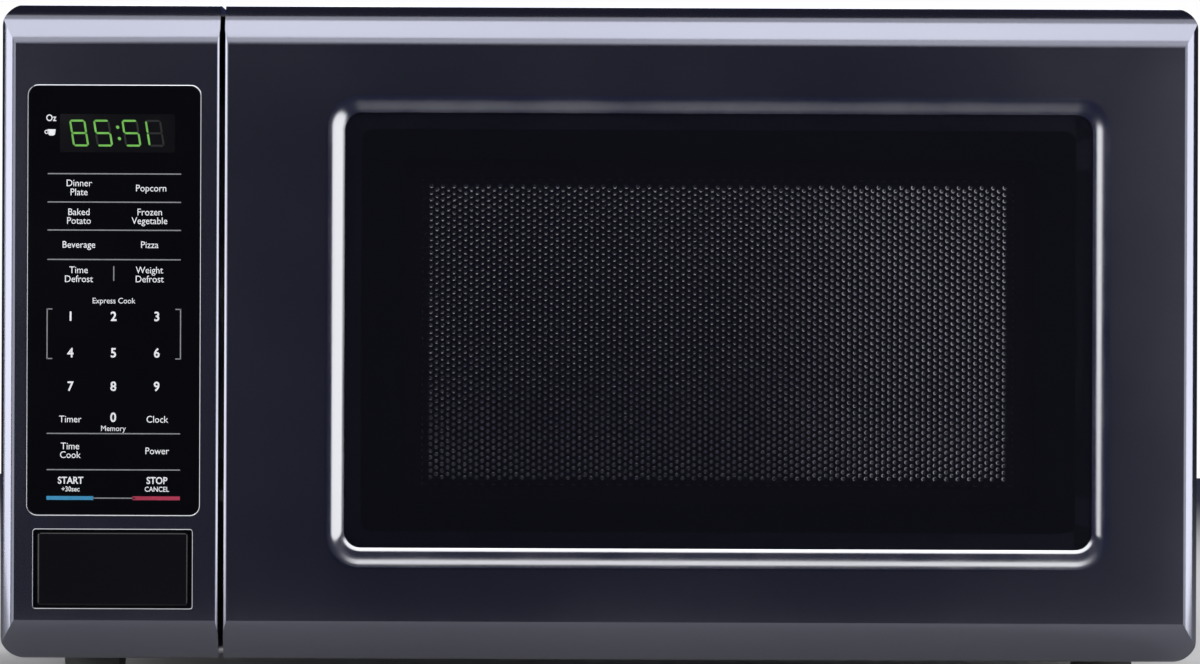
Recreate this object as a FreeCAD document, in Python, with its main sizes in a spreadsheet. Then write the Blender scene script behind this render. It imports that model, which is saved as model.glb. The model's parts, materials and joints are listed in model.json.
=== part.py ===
import FreeCAD, Part
import math
import os

import Sketcher

# Countertop microwave oven, millimetres.
# The origin is on the surface the oven stands on, in the middle of its width and depth.
# +X is the user's right when facing the oven, +Y runs from the door to the back, +Z is up.

doc = FreeCAD.newDocument("microwave_oven")
sheet = doc.addObject("Spreadsheet::Sheet", "Sizes")
Vector = FreeCAD.Vector
sub_parts = []


class Dim:
    """A length that knows both its number and its spreadsheet expression."""

    def __init__(self, number, text):
        self.number = number
        self.text = text

    def __add__(self, other):
        other = as_dim(other)
        return Dim(self.number + other.number, f"({self.text} + {other.text})")

    def __radd__(self, other):
        return as_dim(other) + self

    def __sub__(self, other):
        other = as_dim(other)
        return Dim(self.number - other.number, f"({self.text} - {other.text})")

    def __rsub__(self, other):
        return as_dim(other) - self

    def __mul__(self, other):
        other = as_dim(other)
        return Dim(self.number * other.number, f"({self.text} * {other.text})")

    def __rmul__(self, other):
        return as_dim(other) * self

    def __truediv__(self, other):
        other = as_dim(other)
        return Dim(self.number / other.number, f"({self.text} / {other.text})")

    def __neg__(self):
        return 0 - self


def as_dim(value):
    return value if isinstance(value, Dim) else Dim(float(value), f"{value:.6g}")


def size(alias, number):
    """Put one driving dimension in the next row of the sheet and return it."""
    row = len(size.rows) + 1
    size.rows.append(alias)
    sheet.set(f"A{row}", alias)
    sheet.set(f"B{row}", f"{number}")
    sheet.setAlias(f"B{row}", alias)
    return Dim(float(number), f"Sizes.{alias}")


size.rows = []


# ---------------------------------------------------------------- driving dimensions

width = size("width", 440)
height = size("height", 257)
depth = size("depth", 358)
foot_height = size("foot_height", 16)
front_depth = size("front_depth", 33.5)
control_width = size("control_width", 80.2)
door_gap = size("door_gap", 1.8)
moulding = size("moulding_wall", 2.5)
sheet_metal = size("sheet_thickness", 0.8)
roll_top = size("roll_top", 15)
roll_bottom = size("roll_bottom", 14.3)
roll_side = size("roll_side", 5.2)
roll_edge = size("roll_edge_radius", 5)
roll_side_edge = size("roll_side_edge_radius", 3.2)
panel_corner = size("panel_corner_radius", 9)
ring_proud = size("ring_proud", 1)
ring_width = size("ring_width", 6.2)
ring_sill = size("ring_sill_width", 7.2)
ring_corner = size("ring_corner_radius", 11.8)
window_width = size("window_width", 274.8)
window_height = size("window_height", 160)
window_left_inset = size("window_left_inset", 44.3)
window_low_inset = size("window_low_inset", 41.3)
glass_thickness = size("glass_thickness", 3)
mesh_inset_x = size("mesh_inset_sides", 28)
mesh_inset_low = size("mesh_inset_bottom", 23)
mesh_inset_high = size("mesh_inset_top", 24)
keypad_width = size("keypad_width", 63.9)
keypad_height = size("keypad_height", 158.4)
keypad_low = size("keypad_low_inset", 52.6)
display_width = size("display_width", 42.3)
display_height = size("display_height", 14.1)
button_width = size("button_width", 55.4)
button_height = size("button_height", 27.1)
button_low = size("button_low_inset", 19.6)
button_travel = size("button_travel", 5.5)
cavity_width = size("cavity_width", 314)
cavity_height = size("cavity_height", 204)
cavity_depth = size("cavity_depth", 299.2)
cavity_low = size("cavity_floor_height", 36)
casing_rear = size("casing_rear_face", 165)
tray_radius = size("tray_radius", 122.5)
wheel_radius = size("wheel_radius", 7.5)
wheel_track = size("wheel_track_radius", 92)
hinge_inset = size("hinge_inset", 7)
pin_radius = size("hinge_pin_radius", 2.4)
fit = size("running_clearance", 0.05)

left = -width / 2
right = width / 2
bottom = foot_height
top = height
face = ring_proud - depth / 2
plate_front = face + front_depth
plate_rear = plate_front + sheet_metal
housing_right = left + control_width
door_left = housing_right + door_gap
door_middle = (door_left + right) / 2
door_back = plate_front - 1.5
skirt_back = plate_front - 4.5
casing_side = right - 1
casing_top = top - 2
base_top = bottom + 2.9
cavity_left = door_middle - cavity_width / 2
cavity_right = door_middle + cavity_width / 2
cavity_top = cavity_low + cavity_height
cavity_rear = plate_rear + cavity_depth
turntable_x = door_middle
turntable_y = plate_rear + cavity_depth / 2
hinge_x = right - hinge_inset
hinge_y = plate_front - 10.5

ORIGIN_PLANES = {"XY": "XY_Plane", "XZ": "XZ_Plane", "YZ": "YZ_Plane"}


# ---------------------------------------------------------------- modelling helpers

def bind(thing, prop, value):
    thing.setExpression(prop, as_dim(value).text)


def place(thing, x=0, y=0, z=0):
    bind(thing, "Placement.Base.x", x)
    bind(thing, "Placement.Base.y", y)
    bind(thing, "Placement.Base.z", z)
    return thing


def aim(thing, axis):
    """Turn something made along +Z so that it lies along the named axis."""
    turns = {
        "X": (Vector(0, 1, 0), 90),
        "-X": (Vector(0, 1, 0), -90),
        "Y": (Vector(1, 0, 0), -90),
        "-Y": (Vector(1, 0, 0), 90),
        "-Z": (Vector(1, 0, 0), 180),
    }
    if axis in turns:
        thing.Placement.Rotation = FreeCAD.Rotation(*turns[axis])
    return thing


def box(name, x, y, z):
    """A box from three (low, high) pairs."""
    made = doc.addObject("Part::Box", name)
    bind(made, "Length", x[1] - as_dim(x[0]))
    bind(made, "Width", y[1] - as_dim(y[0]))
    bind(made, "Height", z[1] - as_dim(z[0]))
    return place(made, x[0], y[0], z[0])


def rod(name, radius, length, start, axis="Z"):
    made = aim(doc.addObject("Part::Cylinder", name), axis)
    bind(made, "Radius", radius)
    bind(made, "Height", length)
    return place(made, *start)


def group(name, things):
    made = doc.addObject("Part::Compound", name)
    made.Links = things
    return made


def fuse(name, things):
    made = doc.addObject("Part::MultiFuse", name)
    made.Shapes = things
    made.Refine = True
    return made


def common(name, things):
    made = doc.addObject("Part::MultiCommon", name)
    made.Shapes = things
    return made


def cut(name, base, tools):
    made = doc.addObject("Part::Cut", name)
    made.Base = base
    made.Tool = tools[0] if len(tools) == 1 else group(name + "_tools", tools)
    return made


def sub_part(node, thing):
    """Mark a finished piece: its label names its file."""
    thing.Label = node
    sub_parts.append(thing)
    return thing


def arc_geometry(start, end, radius, ccw):
    """The short circular arc from start to end, as the sketcher wants it."""
    middle = (start + end) / 2
    half = (end - start) / 2
    across = Vector(-half.y, half.x, 0)
    across.normalize()
    lift = math.sqrt(max(radius ** 2 - half.Length ** 2, 0))
    centre = middle + across * (lift if ccw else -lift)
    first, last = (start, end) if ccw else (end, start)
    first_angle = math.atan2(first.y - centre.y, first.x - centre.x)
    last_angle = math.atan2(last.y - centre.y, last.x - centre.x)
    circle = Part.Circle(centre, Vector(0, 0, 1), radius)
    return Part.ArcOfCircle(circle, first_angle, last_angle)


def fix_coordinate(sketch, index, end, value, kind):
    """Tie one coordinate of a point to its expression, or to the axis when it is zero."""
    if abs(value.number) < 1e-9:
        axis = -2 if kind == "DistanceX" else -1
        sketch.addConstraint(Sketcher.Constraint("PointOnObject", index, end, axis))
        return
    made = sketch.addConstraint(Sketcher.Constraint(kind, -1, 1, index, end, value.number))
    sketch.setExpression(f"Constraints[{made}]", value.text)


def outline(body, plane, name, path, offset):
    """A closed sketch. Each entry is (x, y) for a line to the next point, or
    (x, y, radius) for an arc to it: a negative radius curves inwards."""
    sketch = body.newObject("Sketcher::SketchObject", name)
    roles = {feature.Role: feature for feature in body.Origin.OriginFeatures}
    sketch.AttachmentSupport = [(roles[ORIGIN_PLANES[plane]], "")]
    sketch.MapMode = "FlatFace"
    bind(sketch, "AttachmentOffset.Base.z", -as_dim(offset) if plane == "XZ" else offset)
    corners = [(as_dim(entry[0]), as_dim(entry[1])) for entry in path]
    points = [Vector(x.number, y.number, 0) for x, y in corners]
    count = len(points)
    area = sum(points[i].x * points[i - count + 1].y - points[i - count + 1].x * points[i].y
               for i in range(count))
    first_ends = []
    for i, entry in enumerate(path):
        start, end = points[i], points[(i + 1) % count]
        if len(entry) == 2:
            sketch.addGeometry(Part.LineSegment(start, end))
            first_ends.append(1)
            continue
        radius = as_dim(entry[2])
        ccw = (area > 0) == (radius.number > 0)
        sketch.addGeometry(arc_geometry(start, end, abs(radius.number), ccw))
        first_ends.append(1 if ccw else 2)
    for i in range(count):
        after = (i + 1) % count
        ends = (i, 3 - first_ends[i], after, first_ends[after])
        sketch.addConstraint(Sketcher.Constraint("Coincident", *ends))
    for i, (x, y) in enumerate(corners):
        fix_coordinate(sketch, i, first_ends[i], x, "DistanceX")
        fix_coordinate(sketch, i, first_ends[i], y, "DistanceY")
    for i, entry in enumerate(path):
        if len(entry) == 3:
            radius = as_dim(entry[2])
            value = radius if radius.number > 0 else -radius
            made = sketch.addConstraint(Sketcher.Constraint("Radius", i, value.number))
            sketch.setExpression(f"Constraints[{made}]", value.text)
    return sketch


def pad(name, plane, path, start, end):
    """A body padded from start to end along the plane's own world axis."""
    body = doc.addObject("PartDesign::Body", name)
    feature = body.newObject("PartDesign::Pad", name + "_pad")
    feature.Profile = outline(body, plane, name + "_sketch", path, start)
    feature.Reversed = plane == "XZ"
    bind(feature, "Length", end - as_dim(start))
    return body


def pocket(body, name, plane, path, start, end):
    """Cut a pocket from start to end and make sure that it removed something."""
    doc.recompute()
    before = body.Shape.Volume
    feature = body.newObject("PartDesign::Pocket", name)
    feature.Profile = outline(body, plane, name + "_sketch", path, start)
    feature.Reversed = plane != "XZ"
    bind(feature, "Length", end - as_dim(start))
    doc.recompute()
    if body.Shape.Volume > before - 0.1:
        raise RuntimeError(f"{name} cuts nothing")
    return feature


def repeat(body, name, feature, reference, length, count):
    """Repeat a pocket in a row along a line of its own sketch."""
    pattern = body.newObject("PartDesign::LinearPattern", name)
    pattern.Originals = [feature]
    pattern.Direction = (feature.Profile[0], [reference])
    bind(pattern, "Length", length)
    pattern.Occurrences = count
    body.Tip = pattern
    return pattern


def dress(body, kind, name, prop, amount, wanted):
    """A fillet or chamfer on the edges of the body that pass the test."""
    doc.recompute()
    tip = body.Tip
    names = [f"Edge{i + 1}" for i, edge in enumerate(tip.Shape.Edges) if wanted(edge)]
    feature = body.newObject("PartDesign::" + kind, name)
    feature.Base = (tip, names)
    bind(feature, prop, amount)
    return feature


def revolve(name, path, start=(0, 0, 0), axis="Z"):
    """A body of revolution. The path holds (radius, distance along the axis)."""
    body = aim(doc.addObject("PartDesign::Body", name), axis)
    sketch = outline(body, "XZ", name + "_sketch", path, 0)
    feature = body.newObject("PartDesign::Revolution", name + "_turned")
    feature.Profile = sketch
    feature.ReferenceAxis = (sketch, ["V_Axis"])
    feature.Angle = 360
    return place(body, *start)


def rectangle(x, y, radius=None):
    """Corner points of a rectangle, with rounded corners if a radius is given."""
    if radius is None:
        return [(x[0], y[0]), (x[1], y[0]), (x[1], y[1]), (x[0], y[1])]
    return [
        (x[0] + radius, y[0]), (x[1] - radius, y[0], radius),
        (x[1], y[0] + radius), (x[1], y[1] - radius, radius),
        (x[1] - radius, y[1]), (x[0] + radius, y[1], radius),
        (x[0], y[1] - radius), (x[0], y[0] + radius, radius),
    ]


def stadium(x, y):
    """A slot with round ends, longer along y."""
    radius = (x[1] - as_dim(x[0])) / 2
    middle = x[0] + radius
    return [
        (x[1], y[0] + radius), (x[1], y[1] - radius, radius), (middle, y[1], radius),
        (x[0], y[1] - radius), (x[0], y[0] + radius, radius), (middle, y[0], radius),
    ]


# ---------------------------------------------------------------- rolled front mouldings

HALF_ROOT = 0.707107


def roll_points(front, back, edge, roll, radius, inward):
    """One rolled edge of a front moulding, as (depth, span) points from the front face
    round to the back: a wide arc off the face, then a tighter one onto the side."""
    if roll is None:
        return [(front, edge), (back, edge)]
    wide = (roll - radius * (1 - HALF_ROOT)) / HALF_ROOT
    return [
        (front, edge - inward * roll, wide),
        (front + wide * (1 - HALF_ROOT), edge - inward * radius * (1 - HALF_ROOT), radius),
        (front + wide * (1 - HALF_ROOT) + radius * HALF_ROOT, edge),
        (back, edge),
    ]


def rolled_outline(front, back, low, high, swap):
    """The section of a front moulding. low and high are (edge, roll, radius)."""
    rising = roll_points(front, back, high[0], high[1], high[2], 1)
    falling = roll_points(front, back, low[0], low[1], low[2], -1)
    path = list(rising)
    back_first = falling[::-1]
    for i, point in enumerate(back_first):
        radius = back_first[i + 1][2:] if i + 1 < len(back_first) else ()
        path.append(point[:2] + tuple(radius))
    if swap:
        path = [(point[1], point[0]) + tuple(point[2:]) for point in path]
    return path


def rolled_block(name, front, back, low, high, near, far, corners):
    """A front moulding: its vertical section, its plan and its outline, intersected.
    near and far are the left and right sides, and corners their outline radii."""
    section = pad(name + "_section", "YZ", rolled_outline(front, back, low, high, False),
                  near[0] - 1, far[0] + 1)
    plan = pad(name + "_plan", "XY", rolled_outline(front, back, near, far, True),
               low[0] - 1, high[0] + 1)
    near_r, far_r = corners
    x0, x1, z0, z1 = near[0], far[0], low[0], high[0]
    round_outline = [
        (x0 + near_r, z0), (x1 - far_r, z0, far_r), (x1, z0 + far_r), (x1, z1 - far_r, far_r),
        (x1 - far_r, z1), (x0 + near_r, z1, near_r), (x0, z1 - near_r), (x0, z0 + near_r, near_r),
    ]
    silhouette = pad(name + "_outline", "XZ", round_outline, front - 1, back + 1)
    return common(name, [section, plan, silhouette])


def front_moulding(name, back, near, far, corners):
    """A hollow front moulding between two sides, open at the back."""
    outer = rolled_block(name + "_outer", face, back, (bottom, roll_bottom, roll_edge),
                         (top, roll_top, roll_edge), near, far, corners)
    wall = moulding
    inside = []
    for edge, roll, radius, inward in ((*near, 1), (*far, -1)):
        if roll is roll_side:
            inside.append((edge + inward * wall, roll - wall, radius - wall))
        else:
            inside.append((edge + inward * wall, None, None))
    inner_corners = [corner - wall if corner is panel_corner else corner for corner in corners]
    inner = rolled_block(name + "_inner", face + wall, back + 1,
                         (bottom + wall, roll_bottom - wall, roll_edge - wall),
                         (top - wall, roll_top - wall, roll_edge - wall),
                         inside[0], inside[1], inner_corners)
    return outer, inner


# ---------------------------------------------------------------- cabinet

def screws(node, starts, axis):
    """Identical pan-head screws with a cross recess, driven along the axis."""
    made = []
    for i, start in enumerate(starts):
        name = f"{node}_{i + 1}"
        head = revolve(name + "_head", [(0, -2), (1.8, -2, 2.4), (3.4, -0.4), (3.4, 0), (1.7, 0),
                                        (1.7, 3.5), (0, 3.5)], start, axis)
        made.append(head)
    return sub_part(node, group(node + "_set", made))


def make_casing():
    side, inner = casing_side, casing_side - sheet_metal
    path = [(-side, base_top), (-inner, base_top), (-inner, casing_top - sheet_metal),
            (inner, casing_top - sheet_metal), (inner, base_top), (side, base_top),
            (side, casing_top), (-side, casing_top)]
    casing = pad("casing_wrap", "XZ", path, plate_rear, casing_rear)
    for i, low in enumerate((60, 98, 136)):
        slot = pocket(casing, f"casing_vent_{i}", "YZ", stadium((-104, -101), (low, low + 26)),
                      left, left + 4)
        repeat(casing, f"casing_vent_row_{i}", slot, "H_Axis", 84, 13)
    doc.recompute()
    right_slot = pocket(casing, "casing_vent_right", "YZ", stadium((60, 63), (196, 222)),
                        right - 4, right)
    repeat(casing, "casing_vent_right_row", right_slot, "H_Axis", 77, 12)
    sub_part("outer_casing", casing)

    inside = casing_side - sheet_metal
    base_plate = box("base_sheet", (-inside - sheet_metal, inside + sheet_metal),
                     (plate_rear, casing_rear), (base_top - sheet_metal, base_top))
    holes = [rod(f"base_hole_{i}", 2.4, 4, (-200 + 11 * (i % 6), -20 + 11 * (i // 6), base_top - 2))
             for i in range(36)]
    sub_part("base_plate", cut("base_plate_cut", base_plate, holes))

    rear_sheet = casing_rear - 1
    panel = pad("rear_sheet", "XZ", rectangle((-inside, inside),
                                              (base_top, casing_top - sheet_metal)),
                rear_sheet, casing_rear)
    for i, low in enumerate((66, 92, 118)):
        slot = pocket(panel, f"fan_inlet_{i}", "XZ", stadium((-206, -203), (low, low + 22)),
                      rear_sheet - 1, casing_rear + 1)
        repeat(panel, f"fan_inlet_row_{i}", slot, "H_Axis", 72, 13)
    slot = pocket(panel, "exhaust_slot", "XZ", stadium((60, 63), (212, 236)),
                  rear_sheet - 1, casing_rear + 1)
    repeat(panel, "exhaust_slot_row", slot, "H_Axis", 96, 17)
    pocket(panel, "cord_hole", "XZ", rectangle((-204, -190), (34, 48), as_dim(3)),
           rear_sheet - 1, casing_rear + 1)
    screw_places = [(x, z) for x in (-208, 40, 208) for z in (30, 246)]
    holes = [rod(f"rear_screw_hole_{i}", 1.8, 4, (x, rear_sheet - 1.5, z), "Y")
             for i, (x, z) in enumerate(screw_places)]
    sub_part("rear_panel", cut("rear_panel_cut", panel, holes))
    screws("rear_screws", [(x, casing_rear + 0.02, z) for x, z in screw_places], "-Y")

    gland = revolve("gland_turned", [(4, -1.2), (9, -1.2), (9, 2.4, 1.6), (7.4, 4), (4, 4)],
                    (-197, casing_rear + 1.22, 41), "Y")
    sub_part("cord_gland", gland)

    spacers = [box(f"spacer_{i}", (x - 14, x + 14), (casing_rear, depth / 2), (222, 232))
               for i, x in enumerate((-186, 186))]
    sub_part("rear_spacers", group("rear_spacer_pair", spacers))

    feet = []
    for i, (x, y) in enumerate([(x, y) for x in (-190, 190) for y in (-120, 135)]):
        foot = revolve(f"foot_{i}", [(0, 0), (9.5, 0, 1), (10.5, 1), (12, base_top - sheet_metal),
                                     (0, base_top - sheet_metal)], (x, y, 0))
        feet.append(foot)
    sub_part("feet", group("foot_set", feet))


def make_cavity():
    flange = (door_left + 1, casing_side)
    plate = pad("front_sheet", "XZ", rectangle(flange, (base_top, casing_top)),
                plate_front, plate_rear)
    pocket(plate, "oven_mouth", "XZ",
           rectangle((cavity_left, cavity_right), (cavity_low, cavity_top), as_dim(6)),
           plate_front - 1, plate_rear + 1)
    openings = []
    for i, low in enumerate(hook_levels):
        openings.append(box(f"latch_slot_{i}", (latch_x - 4.8, latch_x + 4.2),
                            (plate_front - 1, plate_rear + 1), (low - 6, low + 10)))
    for name, low in (("upper", top - 10.8), ("lower", bottom + 7.2)):
        openings.append(box(f"hinge_notch_{name}", (hinge_x - 7, right),
                            (plate_front - 1, plate_rear + 1), (low, low + 3.6)))
    sub_part("cavity_front_plate", cut("front_plate_cut", plate, openings))

    wall = sheet_metal
    path = [(cavity_left - wall, cavity_low - 3), (cavity_left, cavity_low - 3),
            (cavity_left, cavity_top), (cavity_right, cavity_top),
            (cavity_right, cavity_low - 3), (cavity_right + wall, cavity_low - 3),
            (cavity_right + wall, cavity_top + wall), (cavity_left - wall, cavity_top + wall)]
    wrap = pad("cavity_sheet", "XZ", path, plate_rear, cavity_rear + wall)
    pocket(wrap, "waveguide_window", "YZ", rectangle((-22, 52), (162, 214)),
           cavity_left - 2, cavity_left + 1)
    holes = [rod(f"lamp_hole_{i}", 2, 4, (cavity_left - 2, 96 + 6 * (i % 5), 190 + 6 * (i // 5)), "X")
             for i in range(25)]
    holes += [rod(f"air_hole_{i}", 2, 4, (cavity_right - 2, 70 + 6 * (i % 9), 200 + 6 * (i // 9)), "X")
              for i in range(36)]
    sub_part("cavity_wrap", cut("cavity_wrap_cut", wrap, holes))

    sub_part("cavity_back", box("back_sheet", (cavity_left, cavity_right),
                                (cavity_rear, cavity_rear + wall), (cavity_low - 3, cavity_top)))

    well = wheel_track + 15
    floor_sheet = box("floor_sheet", (cavity_left, cavity_right), (plate_rear, cavity_rear),
                      (cavity_low - wall, cavity_low))
    floor_hole = rod("floor_well_hole", well, 4, (turntable_x, turntable_y, cavity_low - 2))
    dish = revolve("floor_well", [
        (8, well_drop), (well + wall, well_drop), (well + wall, cavity_low), (well, cavity_low),
        (well, well_drop + wall), (8.8, well_drop + wall), (8.8, cavity_low), (8, cavity_low)],
        (turntable_x, turntable_y, 0))
    floor = fuse("floor_joined", [cut("floor_open", floor_sheet, [floor_hole]), dish])
    sub_part("cavity_floor", floor)

    cover = pad("mica_sheet", "YZ", rectangle((-28, 58), (154, 222), as_dim(3)),
                cavity_left, cavity_left + 0.6)
    sub_part("waveguide_cover", cover)


def make_hinges():
    """Two hinge plates: a tongue that reaches forward through the front plate, a flange
    behind it, and the pin that the door turns on."""
    for name, tongue_low, flange, pin in (
            ("upper", top - 10, (top - 34, top - 8), (top - 20, top - 8)),
            ("lower", bottom + 8, (bottom + 8, bottom + 34), (bottom + 8, bottom + 20))):
        tongue = box(f"hinge_{name}_tongue", (hinge_x - 6, hinge_x + 4),
                     (hinge_y - 4.5, plate_rear + 2), (tongue_low, tongue_low + 2))
        back = box(f"hinge_{name}_flange", (hinge_x - 12, hinge_x + 4),
                   (plate_rear, plate_rear + 2), flange)
        stud = rod(f"hinge_{name}_pin", pin_radius, pin[1] - pin[0], (hinge_x, hinge_y, pin[0]))
        sub_part(f"hinge_{name}", fuse(f"hinge_{name}_plate", [tongue, back, stud]))


# ---------------------------------------------------------------- control side

def make_controls():
    near = (left, roll_side, roll_side_edge)
    far = (housing_right, as_dim(1.2), as_dim(0.8))
    outer, inner = front_moulding("housing", plate_rear, near, far,
                                  (panel_corner, as_dim(0.8)))
    panel_x = (left + (control_width - keypad_width) / 2 + 1.6,
               left + (control_width + keypad_width) / 2 + 1.6)
    panel_z = (bottom + keypad_low, bottom + keypad_low + keypad_height)
    button_x = (left + 13.8, left + 13.8 + button_width)
    button_z = (bottom + button_low, bottom + button_low + button_height)
    recess = pad("keypad_recess", "XZ", rectangle(panel_x, panel_z, as_dim(4)),
                 face - 1, face + 0.8)
    window = box("display_hole", (left + 20, left + 66), (face - 1, face + 5),
                 (panel_z[1] - 27, panel_z[1] - 8))
    button_hole = box("button_hole", (button_x[0] - 1.3, button_x[1] + 1.3),
                      (face - 1, face + 5), (button_z[0] - 0.9, button_z[1] + 0.9))
    shell = cut("housing_shell", outer, [inner, recess, window, button_hole])
    rib = box("housing_spring_rib", (left + moulding - 0.5, left + 28),
              (lever_y + 4.5, lever_y + 7), (button_z[0] + 6, button_z[1] - 6))
    lug = box("housing_lever_lug", (left + 26.5, left + 29), (face + moulding - 0.5, lever_y + 4.5),
              (lever_z - 4, lever_z + 4))
    pin_hole = rod("lever_pin_hole", lever_pin_radius, 90, (left + 20, lever_y, lever_z), "X")
    housing = cut("housing_drilled", fuse("housing_ribbed", [shell, rib, lug]), [pin_hole])
    sub_part("control_housing", housing)

    blank = pad("keypad_sheet", "XZ", rectangle(panel_x, panel_z, as_dim(4)),
                face - 0.3, face + 0.8)
    dress(blank, "Fillet", "keypad_edge", "Radius", 0.25,
          lambda edge: edge.BoundBox.YMax < (face - 0.29).number)
    display_x = ((panel_x[0] + panel_x[1] - display_width) / 2 + 1,
                 (panel_x[0] + panel_x[1] + display_width) / 2 + 1)
    display_z = (panel_z[1] - 10.7 - display_height, panel_z[1] - 10.7)
    pocket(blank, "display_cut", "XZ", rectangle(display_x, display_z, as_dim(0.6)),
           face - 1, face + 2)
    sub_part("keypad_panel", blank)
    sub_part("display_window", pad("display_lens", "XZ",
                                   rectangle(display_x, display_z, as_dim(0.6)),
                                   face - 0.2, face + 0.8))
    sub_part("led_display", box("led_module", (display_x[0] - 0.5, display_x[1] + 0.5),
                                (face + 0.9, face + 7.5), (display_z[0] - 1.2, display_z[1] + 1.2)))
    board = box("control_board_sheet", (left + 10, left + 74), (face + 8, face + 9.6),
                (panel_z[0] + 14, panel_z[1] - 2))
    relay = box("board_relay", (left + 16, left + 36), (face + 9.6, face + 25), (120, 136))
    supply = box("board_transformer", (left + 42, left + 68), (face + 9.6, face + 28), (150, 182))
    chip = box("board_chip", (left + 22, left + 32), (face + 9.6, face + 12), (160, 188))
    sub_part("control_board", fuse("control_board_parts", [board, relay, supply, chip]))

    front = face - 0.6
    cap = pad("button_cap", "XZ", rectangle(button_x, button_z, as_dim(1.2)), front, face + 12)
    dress(cap, "Fillet", "button_edge", "Radius", 0.8,
          lambda edge: edge.BoundBox.YMax < (front + 0.01).number)
    pocket(cap, "button_hollow", "XZ",
           rectangle((button_x[0] + 2, button_x[1] - 2), (button_z[0] + 2, button_z[1] - 2)),
           face + 2, face + 13)
    flange = box("button_flange", (button_x[0] - 2.8, button_x[1] + 2.8),
                 (face + moulding + 0.1, face + moulding + 1.5),
                 (button_z[0] - 2.2, button_z[1] + 2.2))
    flange_hole = box("button_flange_hole", (button_x[0] + 2, button_x[1] - 2),
                      (face + moulding, face + moulding + 2), (button_z[0] + 2, button_z[1] - 2))
    middle_z = (button_z[0] + button_z[1]) / 2
    stem = box("button_stem", (left + 34, left + 48), (face + 1.5, lever_y - 5.3),
               (middle_z - 4, middle_z + 4))
    post = rod("button_spring_post", 2.6, 8, (spring_x, face + 1.5, middle_z), "Y")
    seat = box("button_spring_seat", (spring_x - 6, spring_x + 6), (face + 1.5, face + 4),
               (middle_z - 6, middle_z + 6))
    sub_part("release_button", fuse("button_joined", [
        cap, cut("button_rim", flange, [flange_hole]), stem, post, seat]))
    sub_part("button_spring", coil_spring("button_coil", 4.2, 0.45,
                                          lever_y + 4.5 - (face + 4),
                                          6, (spring_x, face + 4, middle_z), "Y"))


def coil_spring(name, radius, wire, length, turns, start, axis):
    """A compression spring along the axis, faceted: a ring of points round the wire at
    each step of the helix, joined by triangles and closed by an end face."""
    steps_per_turn, sides = 10, 6
    inner_length = as_dim(length).number - 2 * wire - 0.6
    count = steps_per_turn * turns
    rings = []
    for i in range(count + 1):
        around = 2 * math.pi * i / steps_per_turn
        outward = Vector(math.cos(around), math.sin(around), 0)
        middle = outward * radius + Vector(0, 0, wire + 0.3 + inner_length * i / count)
        ring = []
        for k in range(sides):
            angle = 2 * math.pi * k / sides
            ring.append(middle + outward * (wire * math.cos(angle))
                        + Vector(0, 0, wire * math.sin(angle)))
        rings.append(ring)
    faces = []
    for low, high in zip(rings, rings[1:]):
        for k in range(sides):
            after = (k + 1) % sides
            faces.append(Part.Face(Part.makePolygon([low[k], low[after], high[k], low[k]])))
            faces.append(Part.Face(Part.makePolygon([low[after], high[after], high[k],
                                                     low[after]])))
    for ring in (rings[0], rings[-1]):
        faces.append(Part.Face(Part.makePolygon(ring + [ring[0]])))
    made = doc.addObject("Part::Feature", name)
    made.Shape = Part.Solid(Part.Shell(faces))
    aim(made, axis)
    return place(made, *start)


def make_lever():
    """The bell crank between the release button and the latch hooks."""
    barrel = rod("lever_barrel", 3.3, 43, (left + 30, lever_y, lever_z), "X")
    paddle = box("lever_paddle", (left + 34, left + 48), (lever_y - 5, lever_y - 2.4),
                 (lever_z - 28, lever_z))
    arm = box("lever_arm", (left + 66, left + 73), (lever_y, lever_y + 18.5),
              (lever_z - 2, lever_z + 2))
    reach = box("lever_reach", (left + 66, latch_x + 2.5), (lever_y + 13.5, lever_y + 18.5),
                (lever_z - 2, lever_z + 2))
    finger = box("lever_finger", (latch_x - 2.5, latch_x + 2.5), (lever_y + 13.5, lever_y + 18.5),
                 (lever_z, hook_levels[0] - 0.4))
    bore = rod("lever_bore", lever_pin_radius + fit, 60, (left + 26, lever_y, lever_z), "X")
    whole = fuse("lever_joined", [barrel, paddle, arm, reach, finger])
    sub_part("release_lever", cut("lever_drilled", whole, [bore]))
    sub_part("lever_pin", rod("lever_pin_rod", lever_pin_radius, 53.7,
                              (left + 26.5, lever_y, lever_z), "X"))


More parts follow.
